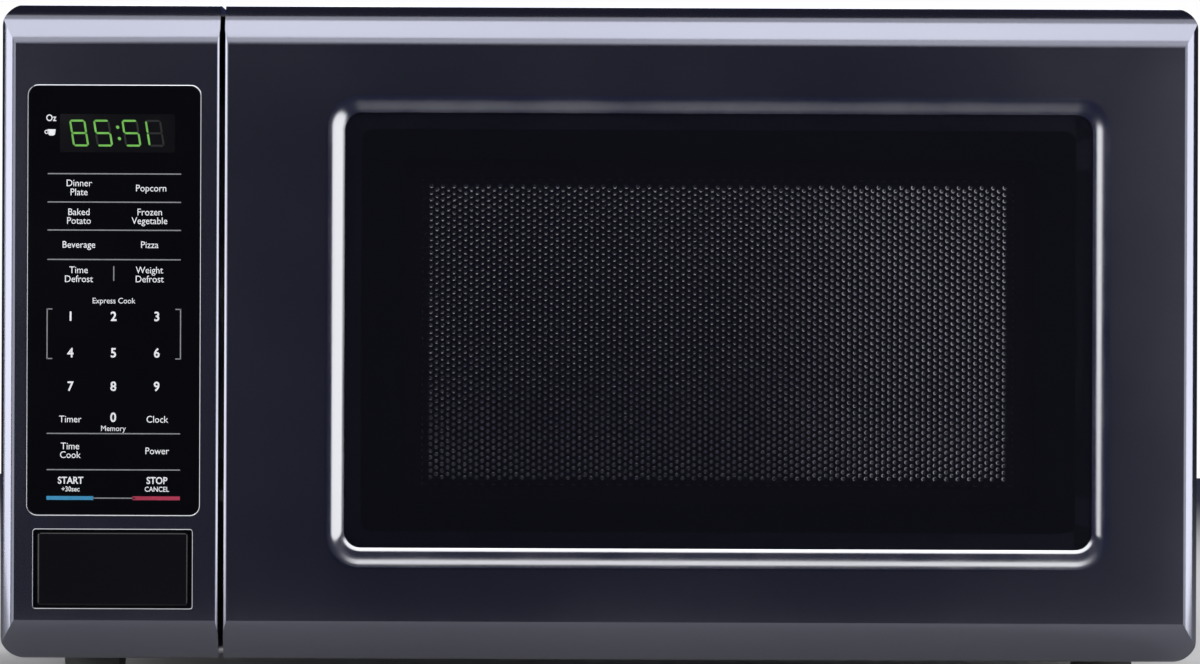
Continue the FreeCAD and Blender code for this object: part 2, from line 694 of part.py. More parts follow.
def make_latch():
    """The sliding latch bar with its two hooks, its spring, and the interlock bracket."""
    half = 2
    bar = box("latch_bar", (latch_x - half, latch_x + half), (door_back - 5.4, door_back - 3),
              (hook_levels[0], hook_levels[1] + 4))
    pieces = [bar]
    for i, low in enumerate(hook_levels):
        pieces.append(box(f"hook_arm_{i}", (latch_x - half, latch_x + half),
                          (door_back - 3.5, hook_tip), (low, low + 4)))
        pieces.append(box(f"hook_barb_{i}", (latch_x - half, latch_x + half),
                          (hook_tip - 5, hook_tip), (low - 3.8, low)))
    post = box("latch_spring_peg", (latch_x - 6.2, latch_x), (door_back - 5.4, door_back - 3),
               (168, 171))
    hook_set = fuse("latch_joined", pieces + [post])
    sub_part("latch_hooks", hook_set)
    sub_part("latch_spring", coil_spring("latch_coil", 1.5, 0.25, 24, 9,
                                         (latch_x - 4.3, door_back - 4.4, 171), "Z"))

    side_x = latch_x - 6.2
    low, high = hook_levels[0] - 3, hook_levels[1] + 16
    side = box("bracket_side", (side_x, side_x + 1.2), (plate_rear, plate_rear + 44), (low, high))
    front = box("bracket_front", (side_x, side_x + 12), (plate_rear, plate_rear + 1.4),
                (hook_levels[0] + 12, hook_levels[1] - 8))
    catches = [box(f"bracket_catch_{i}", (side_x, side_x + 12), (hook_tip - 11, hook_tip - 6),
                   (level - 4, level - 0.6)) for i, level in enumerate(hook_levels)]
    bracket = fuse("bracket_joined", [side, front] + catches)
    sub_part("interlock_bracket", bracket)

    bench = {"primary": hook_levels[1] - 13, "monitor": hook_levels[1] - 45,
             "secondary": hook_levels[0] + 5}
    for name, low_z in bench.items():
        body_box = box(f"switch_{name}_case", (side_x + 1.2, side_x + 10.7),
                       (hook_tip + 2, hook_tip + 17), (low_z, low_z + 27))
        lever_tab = box(f"switch_{name}_lever", (side_x + 3.5, side_x + 7.5),
                        (hook_tip + 1, hook_tip + 2), (low_z + 2, low_z + 20))
        tabs = [box(f"switch_{name}_tab_{i}", (side_x + 4.2, side_x + 7.2),
                    (hook_tip + 17, hook_tip + 24), (low_z + 4 + 9 * i, low_z + 4.8 + 9 * i))
                for i in range(3)]
        sub_part(f"door_switch_{name}", fuse(f"switch_{name}_joined",
                                             [body_box, lever_tab] + tabs))


# ---------------------------------------------------------------- door

def make_door():
    near = (door_left, as_dim(1.2), as_dim(0.8))
    far = (right, roll_side, roll_side_edge)
    outer, inner = front_moulding("door", skirt_back, near, far, (as_dim(0.8), panel_corner))
    window_x = (door_left + window_left_inset, door_left + window_left_inset + window_width)
    window_z = (bottom + window_low_inset, bottom + window_low_inset + window_height)
    ring_x = (window_x[0] - ring_width, window_x[1] + ring_width)
    ring_z = (window_z[0] - ring_sill, window_z[1] + ring_width)
    inner_corner = ring_corner - 5.5
    glass_back = face + 0.6 + glass_thickness
    border = pad("door_border", "XZ",
                 rectangle((ring_x[0] - 4, ring_x[1] + 4), (ring_z[0] - 4, ring_z[1] + 4),
                           ring_corner),
                 face + moulding - 0.5, glass_back + 3)
    recess = pad("door_recess", "XZ", rectangle(ring_x, ring_z, ring_corner),
                 face - 1, glass_back)
    hole = pad("door_hole", "XZ",
               rectangle((window_x[0] + 6, window_x[1] - 6), (window_z[0] + 6, window_z[1] - 6),
                         as_dim(4)), face - 1, glass_back + 4)
    notches = [box(f"door_hinge_notch_{name}", (right - 2.9, right + 1),
                   (hinge_y - 10, skirt_back + 1), span)
               for name, span in (("upper", (top - 11, top - 7)),
                                  ("lower", (bottom + 7, bottom + 11)))]
    shell = fuse("door_ribbed", [cut("door_shell", outer, [inner]), border])
    sub_part("door_frame", cut("door_frame_cut", shell, [recess, hole] + notches))

    ring = pad("ring_pad", "XZ", rectangle(ring_x, ring_z, ring_corner), face - ring_proud,
               glass_back)
    dress(ring, "Fillet", "ring_outer_edge", "Radius", 0.9,
          lambda edge: edge.BoundBox.YMax < (face - ring_proud + 0.01).number)
    pocket(ring, "ring_opening", "XZ", rectangle(window_x, window_z, inner_corner),
           face - ring_proud - 1, glass_back + 1)
    inside = (window_x[0] - 0.01).number

    def on_inner_rim(edge):
        limits = edge.BoundBox
        at_front = limits.YMax < (face - ring_proud + 0.01).number
        return at_front and limits.XMin >= inside and limits.ZMin >= window_z[0].number - 0.01 \
            and limits.XMax <= window_x[1].number + 0.01 and limits.ZMax <= window_z[1].number + 0.01

    dress(ring, "Chamfer", "ring_inner_bevel", "Size", 1.4, on_inner_rim)
    sub_part("window_trim_ring", ring)
    glass = pad("glass_sheet", "XZ", rectangle(window_x, window_z, inner_corner),
                face + 0.6, glass_back)
    sub_part("door_glass", glass)

    pan_x = (cavity_left - 8.5, cavity_right + 9)
    pan_z = (cavity_low - 8, cavity_top + 6)
    pan_y = (face + 15, door_back - 3)
    pan = box("screen_pan_block", pan_x, pan_y, pan_z)
    wall = sheet_metal
    choke_gap = 13
    choke = cut("choke_channel", box("choke_outer", (pan_x[0] + wall, pan_x[1] - wall),
                                     (pan_y[0] + wall, pan_y[1] + 1),
                                     (pan_z[0] + wall, pan_z[1] - wall)),
                [box("choke_core", (pan_x[0] + choke_gap, pan_x[1] - choke_gap),
                     (pan_y[0], pan_y[1] + 2), (pan_z[0] + choke_gap, pan_z[1] - choke_gap))])
    view_gap = choke_gap + sheet_metal
    view = box("screen_view", (pan_x[0] + view_gap, pan_x[1] - view_gap),
               (pan_y[0] + wall, pan_y[1] + 1), (pan_z[0] + view_gap, pan_z[1] - view_gap))
    mesh_x = (window_x[0] + mesh_inset_x, window_x[1] - mesh_inset_x)
    mesh_z = (window_z[0] + mesh_inset_low, window_z[1] - mesh_inset_high)
    mesh_y = (pan_y[0], pan_y[0] + wall)
    opening = box("screen_opening", mesh_x, (mesh_y[0] - 1, mesh_y[1] + 1), mesh_z)
    sub_part("door_screen_panel", cut("screen_panel_cut", pan, [choke, view, opening]))
    sub_part("door_screen_mesh", box("screen_sheet", mesh_x, mesh_y, mesh_z))
    film_gap = view_gap + 0.3
    sub_part("door_film", box("film_sheet", (pan_x[0] + film_gap, pan_x[1] - film_gap),
                              (pan_y[0] + wall + 0.05, pan_y[0] + wall + 0.35),
                              (pan_z[0] + film_gap, pan_z[1] - film_gap)))

    cover = pad("choke_cover_sheet", "XZ",
                rectangle((door_left + 2.9, right - 4), (bottom + 3.4, top - 3.4), as_dim(3)),
                door_back - 2.4, door_back)
    pocket(cover, "choke_cover_window", "XZ",
           rectangle((pan_x[0] + view_gap, pan_x[1] - view_gap),
                     (pan_z[0] + view_gap, pan_z[1] - view_gap), as_dim(3)),
           door_back - 4, door_back + 1)
    slots = [box(f"cover_slot_{i}", (latch_x - 2.6, latch_x + 2.6), (door_back - 4, door_back + 1),
                 (low - 4.4, low + 9)) for i, low in enumerate(hook_levels)]
    slots += [box(f"cover_notch_{name}", (hinge_x - 8, right), (door_back - 4, door_back + 1), span)
              for name, span in (("upper", (top - 11.5, top)), ("lower", (bottom, bottom + 11.5)))]
    seat = box("cover_spring_seat", (latch_x - 6.4, latch_x - 2.6), (door_back - 6.4, door_back - 2.4),
               (195, 198))
    sub_part("choke_cover", fuse("choke_cover_ribbed", [cut("choke_cover_cut", cover, slots), seat]))

    for name, low in (("upper", top - 21), ("lower", bottom + 10.4)):
        block = box(f"bush_{name}_block", (hinge_x - 4.3, right - moulding),
                    (face + moulding + 7, hinge_y + 4.3), (low, low + 10.6))
        bore = rod(f"bush_{name}_bore", pin_radius + fit, 14, (hinge_x, hinge_y, low - 1))
        sub_part(f"door_bush_{name}", cut(f"bush_{name}_cut", block, [bore]))


# ---------------------------------------------------------------- works

def make_works():
    wall = sheet_metal
    guide_x = (cavity_left - wall - 18, cavity_left - wall)
    guide = box("guide_block", guide_x, (-30, 66), (150, 226))
    hollow = box("guide_hollow", (guide_x[0] + wall, guide_x[1] + 1), (-29.2, 65.2), (150.8, 225.2))
    port = rod("guide_port", 12, 4, (guide_x[0] - 1, 10, 188), "X")
    sub_part("waveguide", cut("waveguide_cut", guide, [hollow, port]))

    yoke_x = (guide_x[0] - 62, guide_x[0])
    yoke = box("yoke_block", yoke_x, (-32, 52), (142, 234))
    tunnel = box("yoke_tunnel", (yoke_x[0] + 2, yoke_x[1] - 2), (-33, 53), (152, 224))
    anode = rod("magnetron_anode", 19, 58, (yoke_x[0] + 2, 10, 188), "X")
    fins = [box(f"magnetron_fin_{i}", (yoke_x[0] + 8 + 9 * i, yoke_x[0] + 8.6 + 9 * i),
                (-30, 50), (151, 225)) for i in range(6)]
    antenna = rod("magnetron_antenna", 7, 14, (yoke_x[1] - 1, 10, 188), "X")
    filter_box = box("magnetron_filter", (yoke_x[0] - 16, yoke_x[0]), (-14, 34), (168, 208))
    sub_part("magnetron", fuse("magnetron_joined", [cut("yoke_frame", yoke, [tunnel]), anode,
                                                    antenna, filter_box] + fins))
    sub_part("thermal_cutout", rod("cutout_disc", 8, 6, (yoke_x[0] + 30, 10, 234), "Z"))

    core_x = (left + 14, left + 86)
    core = box("core_block", core_x, (-96, -48), (base_top, 88))
    windows = [box(f"core_window_{i}", (x, x + 12), (-97, -47), (34, 76))
               for i, x in enumerate((left + 26, left + 62))]
    coil_outer = pad("coil_block", "XZ", rectangle((left + 27, left + 73), (35, 75), as_dim(5)),
                     -108, -36)
    coil_inner = box("coil_inner", (left + 38, left + 62), (-109, -35), (33, 77))
    sub_part("hv_transformer", fuse("transformer_joined", [
        cut("core_cut", core, windows), cut("coil_cut", coil_outer, [coil_inner])]))
    can = pad("capacitor_can_pad", "XY", rectangle((left + 20, left + 54), (-20, 34), as_dim(14)),
              base_top, 108)
    posts = [rod(f"capacitor_post_{i}", 3, 8, (left + 37, y, 108), "Z") for i, y in enumerate((-4, 18))]
    sub_part("hv_capacitor", group("capacitor_set", [can] + posts))
    sub_part("hv_diode", rod("diode_body", 3.2, 18, (left + 66, -10, base_top + 3.3), "Y"))

    fan_at = (fan_x, fan_y, fan_z)
    shroud = box("shroud_plate", (left + 3, left + 97), (fan_y + 6, fan_y + 9), (46, 148))
    hole = rod("shroud_hole", 41.6, 8, (fan_x, fan_y + 4, fan_z), "Y")
    ring = cut("shroud_ring", rod("shroud_tube", 43.6, 20, (fan_x, fan_y - 11, fan_z), "Y"),
               [rod("shroud_bore", 41.6, 24, (fan_x, fan_y - 13, fan_z), "Y")])
    beams = [box(f"shroud_beam_{i}", (left + 6, left + 94), (fan_y + 9, fan_y + 12), (z, z + 8))
             for i, z in enumerate((fan_z - 26, fan_z + 18))]
    sub_part("fan_shroud", fuse("shroud_joined", [cut("shroud_open", shroud, [hole]), ring] + beams))
    stack = box("fan_core", (fan_x - 21, fan_x + 21), (fan_y + 12, fan_y + 28),
                (fan_z - 26, fan_z + 30))
    coil = rod("fan_coil", 7.9, 26, (fan_x - 13, fan_y + 20, fan_z - 26.5), "X")
    bearing = rod("fan_bearing", 9, 3, (fan_x, fan_y + 9, fan_z), "Y")
    shaft_bore = rod("fan_shaft_bore", 1.6 + fit, 16, (fan_x, fan_y + 8, fan_z), "Y")
    sub_part("fan_motor", cut("fan_motor_drilled", fuse("fan_motor_joined", [stack, coil, bearing]),
                              [shaft_bore]))
    hub = rod("fan_hub", 10, 12, (fan_x, fan_y - 8, fan_z), "Y")
    spindle = rod("fan_spindle", 1.6, 18, (fan_x, fan_y + 2, fan_z), "Y")
    blades = []
    for i in range(5):
        blade = doc.addObject("Part::Box", f"fan_blade_{i}")
        bind(blade, "Length", 32)
        bind(blade, "Width", 1.4)
        bind(blade, "Height", 24)
        turn = FreeCAD.Rotation(Vector(0, 1, 0), 72 * i)
        tilt = FreeCAD.Rotation(Vector(1, 0, 0), 62)
        offset = turn.multVec(Vector(8, 2, -5))
        blade.Placement.Rotation = turn.multiply(tilt)
        place(blade, fan_x + offset.x, fan_y - 2 + offset.y, fan_z + offset.z)
        blades.append(blade)
    sub_part("fan_blade", fuse("fan_joined", [hub, spindle] + blades))

    board = box("filter_sheet", (left + 8, left + 70), (78, 140), (226, 227.6))
    choke = rod("filter_choke", 10, 12, (left + 26, 98, 227.6), "Z")
    fuse_holder = box("filter_fuse", (left + 44, left + 66), (120, 128), (227.6, 236))
    cap = box("filter_cap", (left + 42, left + 66), (88, 98), (227.6, 240))
    sub_part("line_filter_board", fuse("filter_joined", [board, choke, fuse_holder, cap]))

    lamp_x = cavity_left - wall
    bulb = doc.addObject("Part::Sphere", "lamp_globe")
    bind(bulb, "Radius", 9)
    place(bulb, lamp_x - 12, 108, 202)
    neck = rod("lamp_neck", 4.2, 16, (lamp_x - 27, 108, 202), "X")
    sub_part("cavity_lamp", fuse("lamp_joined", [bulb, neck]))
    holder = rod("lamp_holder", 8, 16, (lamp_x - 43, 108, 202), "X")
    sub_part("lamp_socket", cut("lamp_socket_cut", holder,
                                [rod("lamp_socket_bore", 5, 4, (lamp_x - 28, 108, 202), "X")]))

    motor_top = well_drop - 0.4
    can = rod("turntable_can", 24, motor_top - base_top - 0.4, (turntable_x, turntable_y, base_top + 0.4))
    ears = box("turntable_ears", (turntable_x - 32, turntable_x + 32), (turntable_y - 7, turntable_y + 7),
               (motor_top - 1, motor_top))
    bore = rod("turntable_bore", 3 + fit, 20, (turntable_x, turntable_y, base_top + 3))
    sub_part("turntable_motor", cut("turntable_motor_cut", fuse("turntable_motor_joined", [can, ears]),
                                    [bore]))


def make_turntable():
    shaft = rod("coupler_shaft", 3, 16, (turntable_x, turntable_y, base_top + 3.1))
    hub = rod("coupler_hub", 7.4, tray_seat - 34.9, (turntable_x, turntable_y, 34.9))
    arms = []
    for i in range(3):
        arm = doc.addObject("Part::Box", f"coupler_arm_{i}")
        bind(arm, "Length", 17)
        bind(arm, "Width", 6)
        bind(arm, "Height", 4.2)
        turn = FreeCAD.Rotation(Vector(0, 0, 1), 120 * i)
        offset = turn.multVec(Vector(0, -3, 0))
        arm.Placement.Rotation = turn
        place(arm, turntable_x + offset.x, turntable_y + offset.y, tray_seat - 4.2)
        arms.append(arm)
    sub_part("turntable_coupler", fuse("coupler_joined", [shaft, hub] + arms))

    rim = tray_radius
    plate = revolve("tray_turned", [
        (0, tray_seat), (rim - 14, tray_seat, 8), (rim - 8, tray_seat + 2.4),
        (rim, tray_seat + 12.8, 2), (rim - 3, tray_seat + 14),
        (rim - 10.5, tray_seat + 5.8, -7), (rim - 15, tray_seat + 4), (0, tray_seat + 4)],
        (turntable_x, turntable_y, 0))
    lugs = []
    for i in range(3):
        angle = math.radians(60 + 120 * i)
        lugs.append(rod(f"tray_lug_{i}", 3.4, 3.6,
                        (turntable_x + 11.4 * math.cos(angle), turntable_y + 11.4 * math.sin(angle),
                         tray_seat - 3.5)))
    sub_part("glass_tray", fuse("tray_joined", [plate] + lugs))

    axle_z = well_drop + sheet_metal + wheel_radius + 0.3
    hoop = revolve("ring_hoop", [(wheel_track - 13, -2.2), (wheel_track - 7, -2.2),
                                 (wheel_track - 7, 2.2), (wheel_track - 13, 2.2)],
                   (turntable_x, turntable_y, axle_z))
    inner_hoop = revolve("ring_inner_hoop", [(28, -2), (32, -2), (32, 2), (28, 2)],
                         (turntable_x, turntable_y, axle_z))
    pieces = [hoop, inner_hoop]
    for i in range(3):
        turn = FreeCAD.Rotation(Vector(0, 0, 1), 120 * i + 90)
        spoke = doc.addObject("Part::Box", f"ring_spoke_{i}")
        bind(spoke, "Length", 52)
        bind(spoke, "Width", 5)
        bind(spoke, "Height", 3.2)
        offset = turn.multVec(Vector(30, -2.5, -1.6))
        spoke.Placement.Rotation = turn
        place(spoke, turntable_x + offset.x, turntable_y + offset.y, axle_z + offset.z)
        axle = doc.addObject("Part::Cylinder", f"ring_axle_{i}")
        bind(axle, "Radius", 1.6)
        bind(axle, "Height", 16)
        axle.Placement.Rotation = turn.multiply(FreeCAD.Rotation(Vector(0, 1, 0), 90))
        offset = turn.multVec(Vector(wheel_track.number - 10, 0, 0))
        place(axle, turntable_x + offset.x, turntable_y + offset.y, axle_z)
        pieces += [spoke, axle]
        wheel = revolve(f"wheel_{i}", [(1.6 + fit, 0), (wheel_radius - 0.8, 0, 0.8),
                                       (wheel_radius, 0.8), (wheel_radius, 5.2, 0.8),
                                       (wheel_radius - 0.8, 6), (1.6 + fit, 6)])
        wheel.Placement.Rotation = turn.multiply(FreeCAD.Rotation(Vector(0, 1, 0), 90))
        offset = turn.multVec(Vector(wheel_track.number - 3, 0, 0))
        place(wheel, turntable_x + offset.x, turntable_y + offset.y, axle_z)
        sub_part(f"roller_wheel_{i + 1}", wheel)
    sub_part("roller_ring", fuse("roller_ring_joined", pieces))


# ---------------------------------------------------------------- build

latch_x = door_left + 9.5
hook_levels = (bottom + 70, bottom + 180)
hook_tip = plate_front + 21.5
lever_y = face + 25
lever_z = bottom + 59
lever_pin_radius = as_dim(1.5)
spring_x = left + 22
well_drop = cavity_low - 2.4
tray_seat = well_drop + sheet_metal + 2 * wheel_radius + 0.6
fan_x, fan_y, fan_z = left + 50, as_dim(112), as_dim(97)

make_casing()
make_cavity()
make_hinges()
make_controls()
make_lever()
make_latch()
make_door()
make_works()
make_turntable()
doc.recompute()

failed = [thing.Label for thing in doc.Objects
          if "Invalid" in thing.State or "Error" in thing.State]
failed += [piece.Label for piece in sub_parts
           if piece.Shape.isNull() or not piece.Shape.isValid()]
if failed:
    raise RuntimeError(f"these have no valid shape: {failed}")

os.makedirs("parts", exist_ok=True)
for piece in sub_parts:
    piece.Shape.exportStep(f"parts/{piece.Label}.step")
print(len(sub_parts), "parts written")
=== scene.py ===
import json
import math

import bmesh
import bpy
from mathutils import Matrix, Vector


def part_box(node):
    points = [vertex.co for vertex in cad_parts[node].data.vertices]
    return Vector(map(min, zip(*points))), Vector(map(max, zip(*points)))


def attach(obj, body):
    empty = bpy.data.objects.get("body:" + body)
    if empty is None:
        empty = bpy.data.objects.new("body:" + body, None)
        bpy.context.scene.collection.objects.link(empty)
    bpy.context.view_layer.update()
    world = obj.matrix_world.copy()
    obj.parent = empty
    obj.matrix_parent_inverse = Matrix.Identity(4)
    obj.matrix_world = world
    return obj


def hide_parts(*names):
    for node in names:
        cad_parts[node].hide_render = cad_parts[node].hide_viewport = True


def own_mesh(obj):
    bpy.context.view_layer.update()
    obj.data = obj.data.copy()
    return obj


# Microwave oven: looks, legends, perforated screen, lights and camera.
# Everything is in metres in the frame of the CAD model: the oven stands on z = 0 and faces -Y.

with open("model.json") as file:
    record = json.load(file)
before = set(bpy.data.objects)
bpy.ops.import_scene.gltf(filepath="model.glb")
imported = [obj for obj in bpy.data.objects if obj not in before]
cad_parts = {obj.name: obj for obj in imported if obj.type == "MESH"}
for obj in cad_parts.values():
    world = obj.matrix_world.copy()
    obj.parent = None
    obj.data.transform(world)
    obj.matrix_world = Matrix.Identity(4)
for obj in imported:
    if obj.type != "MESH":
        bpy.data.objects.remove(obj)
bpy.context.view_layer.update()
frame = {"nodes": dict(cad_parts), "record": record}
nodes = frame["nodes"]
MM = 0.001


# ---------------------------------------------------------------- material helpers

def new_material(name, colour, roughness, metallic=0.0, **sockets):
    """A Principled material with its constant values set on the shader's own sockets."""
    made = bpy.data.materials.new(name)
    made.use_nodes = True
    shader = made.node_tree.nodes["Principled BSDF"]
    shader.inputs["Base Color"].default_value = (*colour, 1.0)
    shader.inputs["Roughness"].default_value = roughness
    shader.inputs["Metallic"].default_value = metallic
    for socket, value in sockets.items():
        shader.inputs[socket.replace("_", " ")].default_value = value
    return made


def add(made, kind, **values):
    """Add a node and set its inputs by name."""
    node = made.node_tree.nodes.new(kind)
    for socket, value in values.items():
        node.inputs[socket.replace("_", " ")].default_value = value
    return node


def wire(made, source, target):
    """Link two sockets."""
    made.node_tree.links.new(source, target)


def place_coordinates(made, stretch=(1, 1, 1)):
    """Object coordinates, which are places on the real object, stretched along its axes."""
    source = made.node_tree.nodes.new("ShaderNodeTexCoord")
    mapping = add(made, "ShaderNodeMapping", Scale=stretch)
    wire(made, source.outputs["Object"], mapping.inputs["Vector"])
    return mapping.outputs["Vector"]


def noise(made, coordinates, scale, detail=4.0, roughness=0.55):
    """A noise value at the given places."""
    node = add(made, "ShaderNodeTexNoise", Scale=scale, Detail=detail, Roughness=roughness)
    wire(made, coordinates, node.inputs["Vector"])
    return node.outputs["Fac"]


def spread(made, value, low, high, start=0.3, end=0.7):
    """Map a noise value onto a range."""
    node = made.node_tree.nodes.new("ShaderNodeMapRange")
    for socket, number in zip(("From Min", "From Max", "To Min", "To Max"),
                              (start, end, low, high)):
        node.inputs[socket].default_value = number
    wire(made, value, node.inputs["Value"])
    return node.outputs["Result"]


def colour_between(made, value, first, second):
    """Run a value from one colour to the other, with a stretch of each at its ends."""
    ramp = made.node_tree.nodes.new("ShaderNodeValToRGB")
    stops = ((0.32, first), (0.68, second))
    for element, (position, colour) in zip(ramp.color_ramp.elements, stops):
        element.color = (*colour, 1.0)
        element.position = position
    wire(made, value, ramp.inputs["Fac"])
    return ramp.outputs["Color"]


def bumped(made, height, distance):
    """Raise the surface by a height value, over a distance in metres."""
    node = add(made, "ShaderNodeBump", Strength=1.0, Distance=distance)
    wire(made, height, node.inputs["Height"])
    shader = made.node_tree.nodes["Principled BSDF"]
    wire(made, node.outputs["Normal"], shader.inputs["Normal"])


def worn_edges(made, colour_output, edge_colour, amount):
    """Mix a lighter colour in where the surface is sharply convex."""
    geometry = made.node_tree.nodes.new("ShaderNodeNewGeometry")
    edge = spread(made, geometry.outputs["Pointiness"], 0.0, amount, 0.52, 0.62)
    mix = made.node_tree.nodes.new("ShaderNodeMix")
    mix.data_type = "RGBA"
    inputs = {socket.identifier: socket for socket in mix.inputs}
    inputs["B_Color"].default_value = (*edge_colour, 1.0)
    wire(made, edge, inputs["Factor_Float"])
    wire(made, colour_output, inputs["A_Color"])
    outputs = {socket.identifier: socket for socket in mix.outputs}
    return outputs["Result_Color"]


def finish_surface(name, first, second, rough, metallic=0.0, colour_scale=14.0, rough_scale=60.0,
                   grain_scale=None, grain_depth=0.0, stretch=(1, 1, 1), edge=None, **sockets):
    """A general surface: two close colours in broad patches, uneven roughness and a grain."""
    made = new_material(name, first, rough[0], metallic, **sockets)
    shader = made.node_tree.nodes["Principled BSDF"]
    where = place_coordinates(made, stretch)
    colour = colour_between(made, noise(made, where, colour_scale), first, second)
    if edge:
        colour = worn_edges(made, colour, edge[0], edge[1])
    wire(made, colour, shader.inputs["Base Color"])
    wire(made, spread(made, noise(made, where, rough_scale), *rough), shader.inputs["Roughness"])
    if grain_scale:
        bumped(made, noise(made, where, grain_scale, 3.0), grain_depth)
    return made


# ---------------------------------------------------------------- materials

def gloss_navy(name):
    """Blue-black metallic coat, glossy, with a very fine uneven grain."""
    return finish_surface(name, (0.130, 0.133, 0.162), (0.145, 0.148, 0.178), (0.10, 0.14),
                          metallic=0.97, colour_scale=5.0, rough_scale=9.0,
                          grain_scale=900.0, grain_depth=0.000002)


def trim_metal():
    """Bright plated trim."""
    return finish_surface("trim_metal", (0.40, 0.403, 0.42), (0.43, 0.433, 0.45), (0.11, 0.15),
                          metallic=1.0, colour_scale=8.0, rough_scale=40.0,
                          grain_scale=1500.0, grain_depth=0.000002)


def black_gloss(name, level, rough):
    """Black glossy plastic, a little blue, of a given darkness."""
    darker, lighter = (level, level, level * 1.3), (level * 1.4, level * 1.4, level * 1.8)
    return finish_surface(name, darker, lighter, rough, colour_scale=10.0, rough_scale=25.0,
                          grain_scale=600.0, grain_depth=0.000001, Specular_IOR_Level=0.2)


def powder_coat():
    """Dark textured paint, worn lighter on its sharp edges."""
    return finish_surface("powder_coat", (0.026, 0.027, 0.031), (0.029, 0.030, 0.035), (0.47, 0.52),
                          colour_scale=9.0, rough_scale=90.0, grain_scale=1400.0,
                          grain_depth=0.00006, edge=((0.11, 0.11, 0.12), 0.5))


def galvanised_sheet():
    """Zinc-coated steel with its spangle."""
    made = new_material("galvanised_sheet", (0.55, 0.56, 0.57), 0.4, 1.0)
    shader = made.node_tree.nodes["Principled BSDF"]
    where = place_coordinates(made)
    cells = add(made, "ShaderNodeTexVoronoi", Scale=110.0)
    wire(made, where, cells.inputs["Vector"])
    spangle = spread(made, cells.outputs["Distance"], 0.0, 1.0, 0.0, 0.9)
    wire(made, colour_between(made, spangle, (0.50, 0.51, 0.53), (0.66, 0.67, 0.68)),
         shader.inputs["Base Color"])
    wire(made, spread(made, noise(made, where, 70.0), 0.30, 0.48), shader.inputs["Roughness"])
    return made


def cavity_enamel():
    """The pale enamel of the oven's inside."""
    return finish_surface("cavity_enamel", (0.60, 0.60, 0.57), (0.67, 0.67, 0.64), (0.30, 0.42),
                          colour_scale=12.0, rough_scale=50.0, grain_scale=700.0,
                          grain_depth=0.00004)


def moulded(name, first, second, rough=(0.38, 0.52), grain=0.00003, **sockets):
    """Moulded plastic or rubber."""
    return finish_surface(name, first, second, rough, colour_scale=18.0, rough_scale=120.0,
                          grain_scale=1600.0, grain_depth=grain, **sockets)


def steel(name, first, second, stretch=(1, 1, 1), rough=(0.26, 0.40)):
    """Bare metal, brighter on its sharp edges."""
    return finish_surface(name, first, second, rough, metallic=1.0, colour_scale=60.0,
                          rough_scale=200.0, grain_scale=900.0, grain_depth=0.00001,
                          stretch=stretch, edge=((0.82, 0.82, 0.83), 0.4))


def clear_glass(name, tint, density, rough=0.03):
    """Thin glass or film: what lies behind shows through, less as its density grows."""
    made = finish_surface(name, tint, tuple(min(1.0, c * 1.1) for c in tint), (rough, rough * 2.0),
                          colour_scale=6.0, rough_scale=30.0, grain_scale=25.0,
                          grain_depth=0.000004, Alpha=density)
    made.surface_render_method = "BLENDED"
    return made


def printed(name, colour):
    """Screen-printed ink."""
    darker = tuple(c * 0.85 for c in colour)
    return finish_surface(name, darker, colour, (0.38, 0.48), colour_scale=300.0,
                          rough_scale=500.0, Specular_IOR_Level=0.2)


def lit_segment():
    """Light-emitting display segments, a little uneven from end to end."""
    made = printed("lit_green", (0.010, 0.030, 0.008))
    shader = made.node_tree.nodes["Principled BSDF"]
    glow = colour_between(made, noise(made, place_coordinates(made), 350.0),
                          (0.12, 0.37, 0.055), (0.17, 0.48, 0.080))
    wire(made, glow, shader.inputs["Emission Color"])
    shader.inputs["Emission Strength"].default_value = 1.0
    return made


def circuit_board():
    """Green varnished board."""
    return finish_surface("circuit_board", (0.02, 0.13, 0.06), (0.03, 0.19, 0.09), (0.32, 0.46),
                          colour_scale=90.0, rough_scale=160.0, grain_scale=500.0,
                          grain_depth=0.00004)


def lamination():
    """Stacked, varnished iron sheets."""
    made = finish_surface("lamination", (0.10, 0.085, 0.08), (0.17, 0.15, 0.14), (0.38, 0.55),
                          metallic=0.6, colour_scale=30.0, rough_scale=80.0)
    waves = add(made, "ShaderNodeTexWave", Scale=300.0, Distortion=0.4)
    waves.bands_direction = "Y"
    wire(made, place_coordinates(made), waves.inputs["Vector"])
    bumped(made, waves.outputs["Fac"], 0.0002)
    return made


